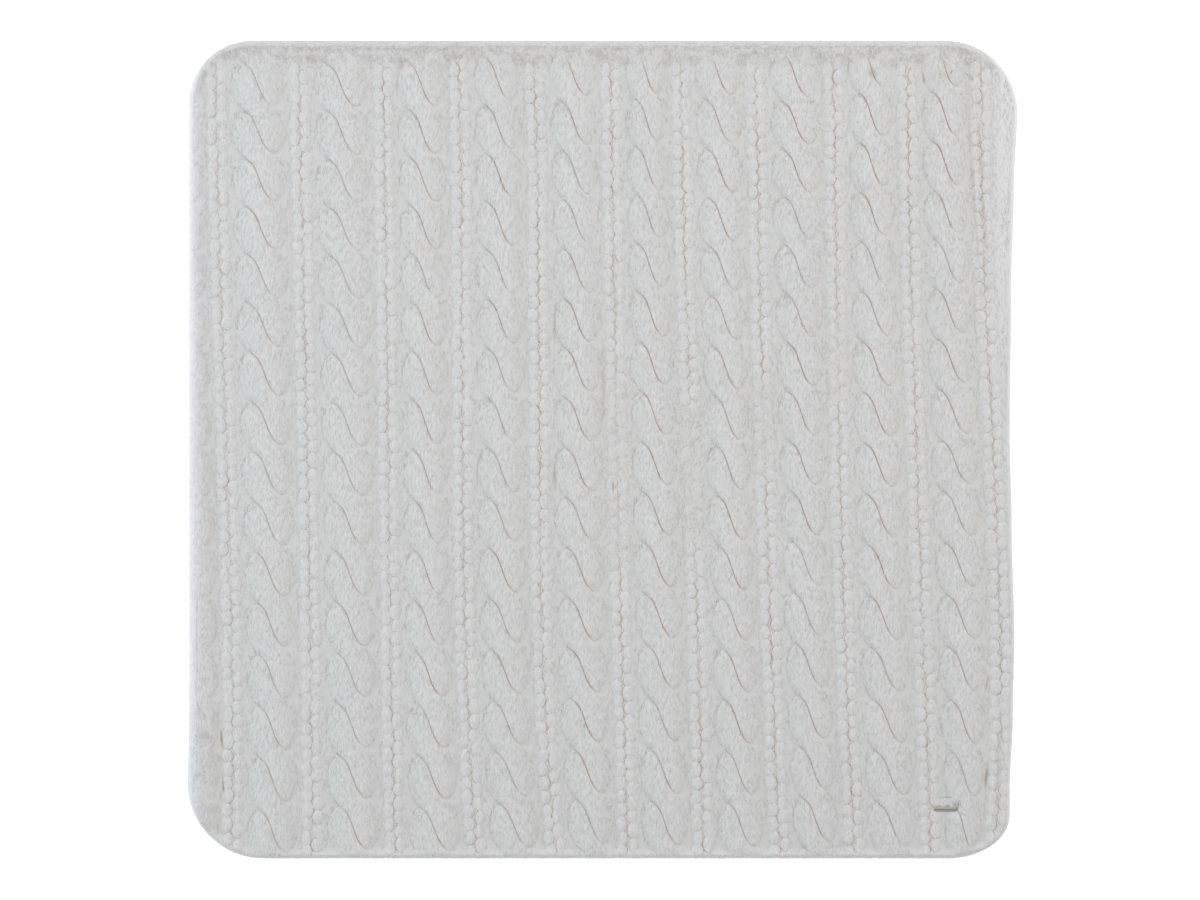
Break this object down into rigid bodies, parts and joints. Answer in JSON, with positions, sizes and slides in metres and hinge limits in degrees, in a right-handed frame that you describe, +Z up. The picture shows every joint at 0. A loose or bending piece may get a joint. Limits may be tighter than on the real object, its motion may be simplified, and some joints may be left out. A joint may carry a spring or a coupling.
{
  "type": "faux fur blanket",
  "caption": "Square faux fur throw blanket with rounded corners, laid flat, its pile carved in cables and strips of beads, with a small plain metal tag near one corner.",
  "frame": {"origin": "middle of the underside, on the surface that the blanket lies on", "axes": "+Z up out of the pile, +Y towards the top edge, +X towards the right side with the tag near the lower right corner"},
  "size_m": [0.8, 0.788, 0.012],
  "materials": {
    "fur": "matt, short dense pile",
    "tag_metal": "brushed"
  },
  "bodies": {
    "root": {"blanket": "fur", "tag": "tag_metal"}
  },
  "joints": []
}
